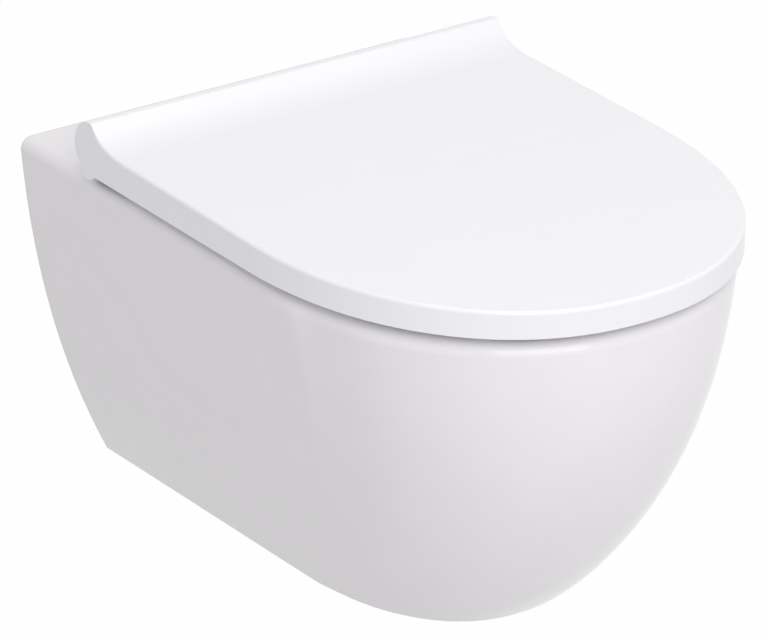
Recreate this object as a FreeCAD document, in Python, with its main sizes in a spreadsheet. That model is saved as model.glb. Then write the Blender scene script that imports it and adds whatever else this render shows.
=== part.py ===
import FreeCAD, Part
import math
import os
import Sketcher
from FreeCAD import Placement, Rotation, Vector

# Wall hung toilet with a slim wrap-over seat and lid.
# Millimetres. Origin: midway between the two wall bolts, on the wall plane.
# +Z is up, the wall is the plane y = 0 and the bowl points along -Y.

doc = FreeCAD.newDocument("wall_hung_toilet")
sheet = doc.addObject("Spreadsheet::Sheet", "sizes")


class Size:
    """A number that also carries the sheet formula it comes from."""

    def __init__(self, value, formula):
        self.value = float(value)
        self.formula = formula

    def __float__(self):
        return self.value

    def mix(self, other, sign, answer):
        text = other.formula if isinstance(other, Size) else repr(float(other))
        return Size(answer, "(%s %s %s)" % (self.formula, sign, text))

    def __add__(self, other):
        return self.mix(other, "+", self.value + float(other))

    def __sub__(self, other):
        return self.mix(other, "-", self.value - float(other))

    def __mul__(self, other):
        return self.mix(other, "*", self.value * float(other))

    def __truediv__(self, other):
        return self.mix(other, "/", self.value / float(other))

    def __neg__(self):
        return self * -1

    def __radd__(self, other):
        return self + other

    def __rsub__(self, other):
        return -self + other

    def __rmul__(self, other):
        return self * other


rows = iter(range(1, 400))


def write_row(name, text):
    row = next(rows)
    sheet.set("A%d" % row, name)
    sheet.set("B%d" % row, text)
    sheet.setAlias("B%d" % row, name)
    return "sizes." + name


def size(name, value):
    """One driving dimension: a row of the sheet, used by its name everywhere."""
    return Size(value, write_row(name, str(value)))


def tied(name, source):
    """A dimension that follows others: its row of the sheet holds their formula."""
    return Size(source.value, write_row(name, "=" + source.formula.replace("sizes.", "")))


# ---------------------------------------------------------------- wall connection
bolt_half_gap = size("bolt_half_gap", 90)
stud_bore = size("stud_bore", 12.6)
rim_height = size("rim_height", 80)
inlet_height = size("inlet_height", 35)
inlet_bore = size("inlet_bore", 55)
inlet_neck = size("inlet_neck", 46)
outlet_drop = size("outlet_drop", 100)
spigot_outer = size("spigot_outer", 102)
spigot_bore = size("spigot_bore", 84)
spigot_length = size("spigot_length", 42)

# ---------------------------------------------------------------- ceramic body
pan_width = size("pan_width", 360)
pan_reach = size("pan_reach", 522)
pan_height = size("pan_height", 277.5)
base_width = size("base_width", 211.8)
base_reach = size("base_reach", 393)
skin = size("skin", 12)
deck_slab = size("deck_slab", 15)
base_slab = size("base_slab", 12)
rim_rounding = size("rim_rounding", 9)
base_rounding = size("base_rounding", 4)

# ---------------------------------------------------------------- bowl and trap
bowl_half_width = size("bowl_half_width", 137)
bowl_back = size("bowl_back", 165)
nose_rim = size("nose_rim", 46)
bowl_front = tied("bowl_front", pan_reach - nose_rim)
bowl_wall = size("bowl_wall", 10)
bowl_depth = size("bowl_depth", 185)
throat_back = size("throat_back", 236)
throat_front = size("throat_front", 305)
trap_radius = size("trap_radius", 29)
trap_wall = size("trap_wall", 9)
trap_bend = size("trap_bend", 45)
trap_run = size("trap_run", 60)
crest_reach = size("crest_reach", 118)
crest_rise = size("crest_rise", 102)
dip_reach = size("dip_reach", 218)
dip_drop = size("dip_drop", 86)
entry_reach = size("entry_reach", 284)
entry_rise = size("entry_rise", 14)
bowl_edge = size("bowl_edge", 5)

# ---------------------------------------------------------------- lid and seat
axis_reach = size("axis_reach", 101)
axis_rise = size("axis_rise", 27.5)
lid_half_width = size("lid_half_width", 183)
lid_over = size("lid_over", 5)
lid_nose = size("lid_nose", 227)
lid_reach = tied("lid_reach", pan_reach + lid_over)
lid_side_reach = tied("lid_side_reach", lid_reach - lid_nose)
lid_gap = size("lid_gap", 7.3)
lid_front_top = size("lid_front_top", 27.8)
lid_root_top = size("lid_root_top", 31.7)
lid_wall = size("lid_wall", 3.5)
ridge_radius = size("ridge_radius", 20.6)
seat_clearance = size("seat_clearance", 1.5)
seat_top = size("seat_top", 22.8)

doc.recompute()


# ---------------------------------------------------------------- shape of the outlines
def blend(first, last, share):
    return float(first) + (float(last) - float(first)) * share


def d_edges(back_half, side_half, side_y, front_y, power, back_y=0.0, height=0.0):
    """Edges of a D: a straight back, two straight sides and one superellipse front."""
    steps = 14
    front = []
    for i in range(steps + 1):
        turn = math.pi * i / steps
        across = math.copysign(abs(math.cos(turn)) ** (2 / power), math.cos(turn))
        along = abs(math.sin(turn)) ** (2 / power)
        front.append(Vector(side_half * across, -side_y - (front_y - side_y) * along, height))
    curve = Part.BSplineCurve()
    lean = Vector(side_half - back_half, back_y - side_y, 0)
    end_lean = Vector(side_half - back_half, side_y - back_y, 0)
    curve.interpolate(Points=front, InitialTangent=lean, FinalTangent=end_lean)
    right_back = Vector(back_half, -back_y, height)
    left_back = Vector(-back_half, -back_y, height)
    return [Part.LineSegment(left_back, right_back), Part.LineSegment(right_back, front[0]),
            curve, Part.LineSegment(front[-1], left_back)]


def oval_edges(half, back_y, front_y, power=2.2):
    """A closed smooth oval between two y values."""
    steps = 24
    middle = (back_y + front_y) / 2
    reach = abs(front_y - back_y) / 2
    points = []
    for i in range(steps):
        turn = 2 * math.pi * i / steps
        across = math.copysign(abs(math.cos(turn)) ** (2 / power), math.cos(turn))
        along = math.copysign(abs(math.sin(turn)) ** (2 / power), math.sin(turn))
        points.append(Vector(half * across, -middle + reach * along, 0))
    curve = Part.BSplineCurve()
    curve.interpolate(Points=points, PeriodicFlag=True)
    return [curve]


# ---------------------------------------------------------------- building helpers
def new_body(name):
    body = doc.addObject("PartDesign::Body", name)
    body.Label = name
    return body


def new_sketch(body, name, role, offset=0.0, turn=None):
    """A sketch on one of the body's origin planes, moved along that plane's normal."""
    sketch = body.newObject("Sketcher::SketchObject", name)
    plane = [item for item in body.Origin.OriginFeatures if item.Role == role][0]
    sketch.AttachmentSupport = [(plane, "")]
    sketch.MapMode = "FlatFace"
    sketch.AttachmentOffset = Placement(Vector(0, 0, float(offset)), turn or Rotation())
    if isinstance(offset, Size):
        sketch.setExpression(".AttachmentOffset.Base.z", offset.formula)
    return sketch


def draw(sketch, edges):
    for edge in edges:
        sketch.addGeometry(edge, False)
    return sketch


def pin_point(sketch, edge, point, across, along):
    """Hold one end of an edge at a place given by two sizes."""
    for kind, place in (("DistanceX", across), ("DistanceY", along)):
        row = sketch.addConstraint(Sketcher.Constraint(kind, -1, 1, edge, point, float(place)))
        if isinstance(place, Size):
            sketch.setExpression("Constraints[%d]" % row, place.formula)


def draw_outline(sketch, corners):
    """A closed outline of straight edges whose corners are held by their sizes."""
    first = sketch.GeometryCount
    count = len(corners)
    for i in range(count):
        start = corners[i]
        end = corners[(i + 1) % count]
        sketch.addGeometry(Part.LineSegment(Vector(float(start[0]), float(start[1]), 0),
                                            Vector(float(end[0]), float(end[1]), 0)), False)
    for i in range(count):
        here = first + i
        after = first + (i + 1) % count
        sketch.addConstraint(Sketcher.Constraint("Coincident", here, 2, after, 1))
    for i in range(count):
        pin_point(sketch, first + i, 1, corners[i][0], corners[i][1])
    return sketch


def draw_circle(sketch, across, along, radius):
    ring = sketch.addGeometry(Part.Circle(Vector(float(across), float(along), 0),
                                          Vector(0, 0, 1), float(radius)), False)
    pin_point(sketch, ring, 3, across, along)
    row = sketch.addConstraint(Sketcher.Constraint("Radius", ring, float(radius)))
    if isinstance(radius, Size):
        sketch.setExpression("Constraints[%d]" % row, radius.formula)
    return sketch


def set_size(item, field, value):
    if isinstance(value, Size):
        item.setExpression(field, value.formula)
    else:
        setattr(item, field, value)


def pad(body, name, sketch, length, both=False, back=False):
    item = body.newObject("PartDesign::Pad", name)
    item.Profile = sketch
    set_size(item, "Length", length)
    item.Midplane = both
    item.Reversed = back
    sketch.Visibility = False
    return item


def pocket(body, name, sketch, length=None, both=False, back=False):
    item = body.newObject("PartDesign::Pocket", name)
    item.Profile = sketch
    if length is None:
        item.Type = "ThroughAll"
    else:
        set_size(item, "Length", length)
    item.Midplane = both
    item.Reversed = back
    return item


def revolve(body, name, sketch, axis="V_Axis", kind="PartDesign::Revolution"):
    item = body.newObject(kind, name)
    item.Profile = sketch
    item.ReferenceAxis = (sketch, [axis])
    item.Angle = 360
    return item


def loft(body, name, sketches, kind="PartDesign::AdditiveLoft"):
    item = body.newObject(kind, name)
    item.Profile = sketches[0]
    item.Sections = sketches[1:]
    item.Ruled = False
    return item


def spot(item, x=0.0, y=0.0, z=0.0, rotation=None):
    """Place an object by three sizes."""
    item.Placement = Placement(Vector(float(x), float(y), float(z)), rotation or Rotation())
    for axis, value in (("x", x), ("y", y), ("z", z)):
        if isinstance(value, Size):
            item.setExpression(".Placement.Base." + axis, value.formula)
    return item


along_wall = Rotation(Vector(0, 1, 0), 90)
off_wall = Rotation(Vector(1, 0, 0), 90)


def cylinder(name, radius, height, x=0.0, y=0.0, z=0.0, rotation=None):
    item = doc.addObject("Part::Cylinder", name)
    set_size(item, "Radius", radius)
    set_size(item, "Height", height)
    return spot(item, x, y, z, rotation)


def box(name, length, width, height, x=0.0, y=0.0, z=0.0):
    item = doc.addObject("Part::Box", name)
    set_size(item, "Length", length)
    set_size(item, "Width", width)
    set_size(item, "Height", height)
    return spot(item, x, y, z)


def cut(name, base, tools):
    item = doc.addObject("Part::Cut", name)
    item.Base = base
    item.Tool = tools if not isinstance(tools, list) else fuse(name + "_tools", tools)
    item.Label = name
    return item


def fuse(name, items):
    item = doc.addObject("Part::MultiFuse", name)
    item.Shapes = items
    item.Label = name
    return item


def common(name, first, second):
    item = doc.addObject("Part::MultiCommon", name)
    item.Shapes = [first, second]
    item.Label = name
    return item


def mirror(name, source):
    item = doc.addObject("Part::Mirroring", name)
    item.Source = source
    item.Base = Vector(0, 0, 0)
    item.Normal = Vector(1, 0, 0)
    item.Label = name
    return item


def both_sides(name, source):
    """One node that holds a piece and its mirror image as separate solids."""
    twin = mirror(name + "_twin", source)
    item = doc.addObject("Part::Compound", name)
    item.Links = [source, twin]
    item.Label = name
    return item


nodes = []


def keep(item, name):
    item.Label = name
    nodes.append((name, item))
    return item


def keep_pair(source, stem):
    """The piece on the +X side is the right one, its mirror image the left one."""
    keep(source, stem + "_right")
    keep(mirror(stem + "_left_body", source), stem + "_left")





# ---------------------------------------------------------------- ceramic pan
wall_overrun = size("wall_overrun", 12)
core_overrun = size("core_overrun", 4)
nose_stretch = size("nose_stretch", 1.45)
inlet_wall = size("inlet_wall", 9)
inlet_shoulder = size("inlet_shoulder", 1)
inlet_lap = size("inlet_lap", 4)
mouth_reach = size("mouth_reach", 16)
mouth_rise = size("mouth_rise", 6)
mouth_half_width = size("mouth_half_width", 42)
mouth_half_height = size("mouth_half_height", 13)


def body_half_width(share):
    """Half width at the wall, from the deck (0) to the base (1)."""
    narrow = 0.295 * share + 0.541 * share ** 2 + 0.164 * share ** 3
    return blend(pan_width, base_width, narrow) / 2


def body_section(share, inset=0.0, nose_inset=0.0):
    """Plan outline of the ceramic body at a share of its height, run on past the wall plane."""
    wall_half = body_half_width(share) - inset
    side_half = body_half_width(share) * (1 - 0.052 * share - 0.11 * share * (1 - share)) - inset
    nose = blend(pan_reach, base_reach, 1 - max(0.0, 1 - share ** 2.14) ** 0.927) - nose_inset
    slender = float(nose_stretch) * float(pan_width) / float(pan_reach)
    side_y = (nose + nose_inset) * (1 - slender * blend(0.423, 0.391, share))
    past = float(wall_overrun)
    back_half = wall_half + (wall_half - side_half) * past / side_y
    return d_edges(back_half, side_half, side_y, nose, blend(2.17, 2.3, share), -past)


def body_level(share):
    return rim_height - pan_height * share


def oval_at(share):
    """Half width, back and front of the bowl from the rim (0) to the throat (1)."""
    half = blend(trap_radius, bowl_half_width, max(0.0, 1 - share ** 2.2) ** 0.85)
    back = blend(bowl_back, throat_back, share ** 1.6)
    front = blend(throat_front, bowl_front, max(0.0, 1 - share ** 2.6) ** 0.75)
    return half, back, front


def make_outer():
    body = new_body("pan_outer")
    levels = 9
    sections = []
    for i in range(levels):
        share = i / (levels - 1)
        sketch = new_sketch(body, "pan_level_%d" % i, "XY_Plane", body_level(share))
        sections.append(draw(sketch, body_section(share)))
    loft(body, "pan_form", sections)
    wall_side = new_sketch(body, "wall_side", "XZ_Plane")
    half = pan_width
    draw_outline(wall_side, [(-half, -pan_height), (half, -pan_height), (half, half), (-half, half)])
    pocket(body, "wall_trim", wall_side, wall_overrun * 2)
    return body


def make_core():
    """Everything inside the shroud's skin, run on past the rim and the base."""
    body = new_body("pan_core")
    levels = 9
    sections = []
    for i in range(levels):
        share = i / (levels - 1)
        level = body_level(share)
        if i == 0:
            level = level + core_overrun
        if i == levels - 1:
            level = level - core_overrun
        sketch = new_sketch(body, "core_level_%d" % i, "XY_Plane", level)
        wall = float(skin)
        sections.append(draw(sketch, body_section(share, wall, wall * (1 + 0.4 * share))))
    loft(body, "core_form", sections)
    return body


def make_bowl(name, grow, top_rise, bottom_drop):
    """The bowl as a loft of ovals: its inside, or with a wall added its outside."""
    body = new_body(name)
    levels = 9
    sections = []
    for i in range(levels):
        share = i / (levels - 1)
        half, back, front = oval_at(share)
        level = rim_height - bowl_depth * share
        if i == 0:
            level = level + top_rise
        if i == levels - 1:
            level = level - bottom_drop
        sketch = new_sketch(body, "%s_level_%d" % (name, i), "XY_Plane", level)
        draw(sketch, oval_edges(half + grow, back - grow, front + grow))
        sections.append(sketch)
    loft(body, name + "_form", sections)
    return body


def trap_corners():
    """Corners of the trap's centre line in (y, z), from the outlet to the bowl."""
    outlet = -float(outlet_drop)
    return [Vector(0, outlet, 0), Vector(-float(trap_run), outlet, 0),
            Vector(-float(crest_reach), outlet + float(crest_rise), 0),
            Vector(-float(dip_reach), outlet - float(dip_drop), 0),
            Vector(-float(entry_reach), outlet + float(entry_rise), 0)]


def rounded_path(corners, radius):
    """Straight runs joined by tangent arcs."""
    edges = []
    start = corners[0]
    for i in range(1, len(corners) - 1):
        here = corners[i]
        inward = (here - corners[i - 1]).normalize()
        outward = (corners[i + 1] - here).normalize()
        turn = inward.getAngle(outward)
        reach = radius * math.tan(turn / 2)
        arc_start = here - inward * reach
        arc_end = here + outward * reach
        middle_way = (outward - inward).normalize()
        middle = here + middle_way * (radius / math.cos(turn / 2) - radius)
        edges.append(Part.LineSegment(start, arc_start))
        edges.append(Part.Arc(arc_start, middle, arc_end))
        start = arc_end
    edges.append(Part.LineSegment(start, corners[-1]))
    return edges


def make_trap(name, radius):
    body = new_body(name)
    path = new_sketch(body, name + "_path", "YZ_Plane")
    draw(path, rounded_path(trap_corners(), float(trap_bend)))
    ring = new_sketch(body, name + "_ring", "XZ_Plane")
    draw_circle(ring, 0, -outlet_drop, radius)
    item = body.newObject("PartDesign::AdditivePipe", name + "_form")
    item.Profile = ring
    item.Spine = (path, ["Edge%d" % (i + 1) for i in range(path.GeometryCount)])
    item.Transition = 0
    return body


def oval_edges_upright(half, tall, middle, power):
    steps = 24
    points = []
    for i in range(steps):
        turn = 2 * math.pi * i / steps
        across = math.copysign(abs(math.cos(turn)) ** (2 / power), math.cos(turn))
        along = math.copysign(abs(math.sin(turn)) ** (2 / power), math.sin(turn))
        points.append(Vector(half * across, middle + tall * along, 0))
    curve = Part.BSplineCurve()
    curve.interpolate(Points=points, PeriodicFlag=True)
    return [curve]


def make_inlet(name, grow):
    """Flush water way past the seal's shoulder: round, then a wide low mouth at the bowl."""
    body = new_body(name)
    round_half = float(inlet_bore) / 2 - float(inlet_shoulder) + grow
    neck = new_sketch(body, name + "_neck", "XZ_Plane", inlet_neck - inlet_lap)
    draw(neck, oval_edges_upright(round_half, round_half, float(inlet_height), 2.0))
    mouth = new_sketch(body, name + "_mouth", "XZ_Plane", bowl_back + mouth_reach)
    draw(mouth, oval_edges_upright(float(mouth_half_width) + grow, float(mouth_half_height) + grow,
                                   float(inlet_height + mouth_rise), 2.6))
    duct = loft(body, name + "_form", [neck, mouth])
    duct.Ruled = True
    return body



# ---------------------------------------------------------------- finished edges
def edge_names(shape, test):
    return ["Edge%d" % (i + 1) for i, edge in enumerate(shape.Edges) if test(edge.BoundBox)]


def fillet(body, name, base, radius, test):
    """Round the edges of a body's feature that pass the test."""
    doc.recompute()
    item = body.newObject("PartDesign::Fillet", name)
    item.Base = (base, edge_names(base.Shape, test))
    set_size(item, "Radius", radius)
    return item


def edge_round(name, base, radius, test):
    """Round the edges of a finished boolean shape that pass the test."""
    doc.recompute()
    item = doc.addObject("Part::Fillet", name)
    item.Base = base
    chosen = [i + 1 for i, edge in enumerate(base.Shape.Edges) if test(edge.BoundBox)]
    item.Edges = [(number, float(radius), float(radius)) for number in chosen]
    return item


# ---------------------------------------------------------------- ceramic casting
outer = make_outer()
rim_level = float(rim_height)
base_level = rim_level - float(pan_height)
top_edge = fillet(outer, "rim_edge", outer.Tip, rim_rounding,
                  lambda span: span.ZMin > rim_level - 0.1 and span.YMin < -10)
fillet(outer, "base_edge", top_edge, base_rounding,
       lambda span: span.ZMax < base_level + 0.1 and span.YMin < -10)
core = make_core()
bowl_outside = make_bowl("bowl_outside", float(bowl_wall), 4, 6)
bowl_inside = make_bowl("bowl_inside", 0, 4, 0)
trap_outside = make_trap("trap_outside", trap_radius + trap_wall)
trap_inside = make_trap("trap_inside", trap_radius)
inlet_outside = make_inlet("inlet_outside", float(inlet_wall))
inlet_inside = make_inlet("inlet_inside", 0)

cut_over = size("cut_over", 2)
fit_gap = size("fit_gap", 0.3)
run_gap = size("run_gap", 0.05)
slip = size("slip", 0.2)
spigot_floor = size("spigot_floor", 8)
web_depth = size("web_depth", 14)
web_inner = size("web_inner", 62)
web_reach = size("web_reach", 110)
web_low = size("web_low", 42)
boss_radius = size("boss_radius", 19.7)
clamp_x = size("clamp_x", 114)
clamp_y = size("clamp_y", 24)
access_radius = size("access_radius", 9.5)
post_x = size("post_x", 77.5)
post_y = size("post_y", 105)
post_hole = size("post_hole", 7.5)
vent_radius = size("vent_radius", 9)
vent_x = size("vent_x", 70)
vent_y = size("vent_y", 60)

spigot = cylinder("spigot_outside", spigot_outer / 2, spigot_length, 0, 0, -outlet_drop, off_wall)
spigot_hole = cylinder("spigot_inside", spigot_bore / 2, spigot_length - spigot_floor,
                       0, 0, -outlet_drop, off_wall)
collar = cylinder("inlet_collar", inlet_bore / 2 + inlet_wall, inlet_neck, 0, 0, inlet_height,
                  off_wall)
collar_hole = cylinder("inlet_collar_hole", inlet_bore / 2, inlet_neck + cut_over,
                       0, cut_over, inlet_height, off_wall)
web_block = box("web_block", web_reach, web_depth, rim_height - deck_slab + web_low,
                web_inner, -web_depth, -web_low)
flush_outside = fuse("flush_outside", [inlet_outside, collar])
trap_solid = common("trap_solid", outer, fuse("trap_uncut", [trap_outside, spigot]))
bowl_solid = common("bowl_solid", outer, bowl_outside)

stud_hole = cylinder("stud_hole_right", boss_radius + fit_gap, web_depth + cut_over,
                     bolt_half_gap, cut_over / 2, 0, off_wall)
deck_low = rim_height - deck_slab - cut_over
access_hole = cylinder("access_hole_right", access_radius, deck_slab + cut_over * 2,
                       clamp_x, -clamp_y, deck_low)
hinge_hole = cylinder("hinge_hole_right", post_hole, deck_slab + cut_over * 2,
                      post_x, -post_y, deck_low)
vent_hole = cylinder("vent_hole_right", vent_radius, base_slab + cut_over * 2,
                     vent_x, -vent_y, rim_height - pan_height - cut_over)
deck_holes = [access_hole, hinge_hole]
deck_holes = deck_holes + [mirror(hole.Name + "_left", hole) for hole in deck_holes]
deck_room = box("deck_room", pan_width, pan_reach, deck_slab, -pan_width / 2, -pan_reach,
                rim_height - deck_slab)
base_room = box("base_room", pan_width, pan_reach, base_slab, -pan_width / 2, -pan_reach,
                rim_height - pan_height)
keep(cut("pan_body", outer, [core, bowl_outside, trap_outside, flush_outside]), "pan")
inner_form = common("inner_form", outer, core)
deck_solid = common("deck_solid", inner_form, deck_room)
keep(cut("deck_body", deck_solid, [bowl_outside, flush_outside] + deck_holes), "deck")
base_solid = common("base_solid", inner_form, base_room)
keep(cut("base_body", base_solid, [bowl_outside, trap_outside, vent_hole,
                                   mirror("vent_hole_left", vent_hole)]), "pan_base")
web_solid = common("web_solid", inner_form, web_block)
keep_pair(cut("web_body", web_solid, [trap_outside, flush_outside, stud_hole]), "fixing_web")

bowl_seam = size("bowl_seam", 10)
lip_limit = 2 * float(bowl_half_width) + float(bowl_wall)
bowl_cut = cut("bowl_cut", bowl_solid, [bowl_inside, trap_inside, inlet_inside])
bowl_round = edge_round("bowl_round", bowl_cut, bowl_edge, lambda span:
                        span.ZMin > rim_level - 0.1 and span.XLength < lip_limit)
upper_room = box("upper_room", pan_width, pan_reach, rim_height + bowl_seam, -pan_width / 2,
                 -pan_reach, -bowl_seam)
keep(common("bowl_body", bowl_round, upper_room), "bowl")
keep(cut("bowl_sump_body", bowl_round, upper_room), "bowl_sump")
keep(cut("trapway_body", trap_solid, [bowl_outside, trap_inside, spigot_hole]), "trapway")
keep(cut("flush_way_body", flush_outside, [bowl_outside, trap_outside, inlet_inside,
                                           collar_hole]), "flush_way")

# ---------------------------------------------------------------- flush divider
divider_tip = size("divider_tip", 3)
divider_root = size("divider_root", 17)
divider_back = size("divider_back", 128)
divider_front = size("divider_front", 168)
divider_low = size("divider_low", 10)
divider_tall = size("divider_tall", 60)
divider_block = new_body("divider_block")
divider_plan = new_sketch(divider_block, "divider_plan", "XY_Plane", divider_low)
draw_outline(divider_plan, [(-divider_tip, -divider_back), (divider_tip, -divider_back),
                            (divider_root, -divider_front), (-divider_root, -divider_front)])
pad(divider_block, "divider_wedge", divider_plan, divider_tall)
divider_limit = make_inlet("divider_limit", -float(fit_gap))
keep(common("flush_divider_body", divider_block, divider_limit), "flush_divider")

# ---------------------------------------------------------------- wall fixings
block_depth = size("block_depth", 16)
block_width = size("block_width", 62)
block_tall = size("block_tall", 38)
block_inner = size("block_inner", 24)
block_drop = size("block_drop", 22)
block_edge = size("block_edge", 3)
clamp_radius = size("clamp_radius", 4)
washer_radius = size("washer_radius", 12)
washer_thick = size("washer_thick", 2.5)
nut_flats = size("nut_flats", 19)
nut_tall = size("nut_tall", 10)
nut_bore = size("nut_bore", 10.4)

block_boss = cylinder("block_boss", boss_radius, web_depth + fit_gap, bolt_half_gap, 0, 0, off_wall)
block_plate = new_body("block_plate_body")
block_face = new_sketch(block_plate, "block_face", "XZ_Plane", web_depth + fit_gap)
plate_left = bolt_half_gap - block_inner
draw_outline(block_face, [(plate_left, -block_drop), (plate_left + block_width, -block_drop),
                          (plate_left + block_width, block_tall - block_drop),
                          (plate_left, block_tall - block_drop)])
pad(block_plate, "block_plate", block_face, block_depth)
fillet(block_plate, "block_corners", block_plate.Tip, block_edge,
       lambda span: span.YLength > float(block_depth) - 1)
block_stud = cylinder("block_stud", stud_bore / 2, web_depth + block_depth + cut_over * 4,
                      bolt_half_gap, cut_over, 0, off_wall)
clamp_bore = cylinder("clamp_bore", clamp_radius + run_gap, rim_height, clamp_x, -clamp_y,
                      -rim_height / 2)
keep_pair(cut("fixing_block_body", fuse("fixing_block_solid", [block_boss, block_plate]),
              [block_stud, clamp_bore]), "fixing_block")

block_front = web_depth + fit_gap + block_depth
washer = cut("washer_body", cylinder("washer_disc", washer_radius, washer_thick, bolt_half_gap,
                                     -block_front, 0, off_wall),
             cylinder("washer_hole", stud_bore / 2 + fit_gap, washer_thick + cut_over * 2,
                      bolt_half_gap, cut_over - block_front, 0, off_wall))
keep(both_sides("fixing_washer_group", washer), "fixing_washers")
nut_blank = doc.addObject("Part::Prism", "nut_blank")
nut_blank.Polygon = 6
set_size(nut_blank, "Circumradius", nut_flats / math.sqrt(3))
set_size(nut_blank, "Height", nut_tall)
spot(nut_blank, bolt_half_gap, -block_front - washer_thick, 0, off_wall)
nut_hole = cylinder("nut_hole", nut_bore / 2, nut_tall + cut_over * 2, bolt_half_gap,
                    -block_front, 0, off_wall)
keep(both_sides("fixing_nut_group", cut("nut_body", nut_blank, nut_hole)), "fixing_nuts")

clamp_low = size("clamp_low", 18)
clamp_neck = size("clamp_neck", 18)
clamp_shoulder = size("clamp_shoulder", 34)
clamp_high = size("clamp_high", 39)
clamp_head = size("clamp_head", 9.4)
socket_depth = size("socket_depth", 6)
nip = size("nip", 1)
clamp_screw = new_body("clamp_screw_body")
clamp_profile = new_sketch(clamp_screw, "clamp_profile", "XZ_Plane")
draw_outline(clamp_profile, [(0, -clamp_low), (clamp_radius - nip, -clamp_low),
                             (clamp_radius, nip - clamp_low), (clamp_radius, clamp_neck - nip),
                             (clamp_radius + nip * 1.5, clamp_neck),
                             (clamp_head, clamp_shoulder), (clamp_head, clamp_high - nip),
                             (clamp_head - nip, clamp_high), (0, clamp_high)])
revolve(clamp_screw, "clamp_turned", clamp_profile)
socket_flats = size("socket_flats", 8)
spot(clamp_screw, clamp_x, -clamp_y, 0)
hex_key = doc.addObject("Part::Prism", "hex_key")
hex_key.Polygon = 6
set_size(hex_key, "Circumradius", socket_flats / math.sqrt(3))
set_size(hex_key, "Height", socket_depth + cut_over)
spot(hex_key, clamp_x, -clamp_y, clamp_high - socket_depth)
keep_pair(cut("clamp_screw_cut", clamp_screw, hex_key), "clamp_screw")

cap_radius = size("cap_radius", 12.5)
cap_rim = size("cap_rim", 0.8)
cap_crown = size("cap_crown", 2)
cap_skirt_wall = size("cap_skirt_wall", 1.5)
cap_skirt_deep = size("cap_skirt_deep", 8)
cap = new_body("access_cap_body")
cap_profile = new_sketch(cap, "cap_profile", "XZ_Plane")
draw_outline(cap_profile, [(0, 0), (cap_radius, 0), (cap_radius, cap_rim),
                           (cap_radius - nip, cap_rim * 2), (0, cap_crown)])
revolve(cap, "cap_disc", cap_profile)
cap_skirt = new_sketch(cap, "cap_skirt", "XY_Plane")
draw_circle(cap_skirt, 0, 0, access_radius - fit_gap)
draw_circle(cap_skirt, 0, 0, access_radius - fit_gap - cap_skirt_wall)
pad(cap, "cap_wall", cap_skirt, cap_skirt_deep, back=True)
spot(cap, clamp_x, -clamp_y, rim_height)
keep(both_sides("access_cap_group", cap), "access_caps")

# ---------------------------------------------------------------- hinge posts
gasket_thick = size("gasket_thick", 1.5)
flange_radius = size("flange_radius", 18)
flange_thick = size("flange_thick", 4)
post_radius = size("post_radius", 6.5)
post_top = size("post_top", 15.6)
thread_radius = size("thread_radius", 3)
groove_start = size("groove_start", 4)
groove_slope = size("groove_slope", 0.6)
groove_deep = size("groove_deep", 0.8)
groove_flat = size("groove_flat", 1.6)
stud_seat = size("stud_seat", 3)
stud_reach = size("stud_reach", 46)

gasket = new_body("gasket_body")
gasket_profile = new_sketch(gasket, "gasket_profile", "XZ_Plane")
draw_outline(gasket_profile, [(thread_radius + nip, 0), (flange_radius - nip / 2, 0),
                              (flange_radius - nip / 2, gasket_thick),
                              (thread_radius + nip, gasket_thick)])
revolve(gasket, "gasket_ring", gasket_profile)
spot(gasket, post_x, -post_y, rim_height)
keep(both_sides("post_gasket_group", gasket), "post_gaskets")

post = new_body("post_body")
post_profile = new_sketch(post, "post_profile", "XZ_Plane")
brim = gasket_thick + flange_thick
groove = brim + groove_start
draw_outline(post_profile, [(thread_radius + run_gap, gasket_thick), (flange_radius, gasket_thick),
                            (flange_radius, brim - nip * 1.5), (flange_radius - nip * 1.5, brim),
                            (post_radius, brim), (post_radius, groove),
                            (post_radius - groove_deep, groove + groove_slope),
                            (post_radius - groove_deep, groove + groove_slope + groove_flat),
                            (post_radius, groove + groove_slope * 2 + groove_flat),
                            (post_radius, post_top - nip), (post_radius - nip, post_top),
                            (0, post_top), (0, brim + stud_seat),
                            (thread_radius + run_gap, brim + stud_seat)])
revolve(post, "post_turned", post_profile)
spot(post, post_x, -post_y, rim_height)
keep_pair(post, "hinge_post")

stud = new_body("stud_body")
stud_profile = new_sketch(stud, "stud_profile", "XZ_Plane")
stud_top = brim + stud_seat - nip / 2
draw_outline(stud_profile, [(0, -stud_reach), (thread_radius - nip / 2, -stud_reach),
                            (thread_radius, nip / 2 - stud_reach),
                            (thread_radius, stud_top - nip / 2),
                            (thread_radius - nip / 2, stud_top), (0, stud_top)])
revolve(stud, "stud_turned", stud_profile)
spot(stud, post_x, -post_y, rim_height)
keep(both_sides("post_stud_group", stud), "post_studs")

bush_swell = size("bush_swell", 3)
bush_cone = size("bush_cone", 4)
bush_waist = size("bush_waist", 9)
bush_long = size("bush_long", 18)
bush = new_body("bush_body")
bush_profile = new_sketch(bush, "bush_profile", "XZ_Plane")
under = -deck_slab - fit_gap
bush_bore = thread_radius + slip
draw_outline(bush_profile, [(bush_bore, -slip), (post_hole - fit_gap, -slip),
                            (post_hole - fit_gap, under),
                            (post_hole + bush_swell, under - bush_cone),
                            (post_hole + bush_swell, under - bush_waist),
                            (post_hole - nip / 2, under - bush_long),
                            (bush_bore, under - bush_long)])
revolve(bush, "bush_moulded", bush_profile)
spot(bush, post_x, -post_y, rim_height)
keep(both_sides("expansion_bush_group", bush), "expansion_bushes")

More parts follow.
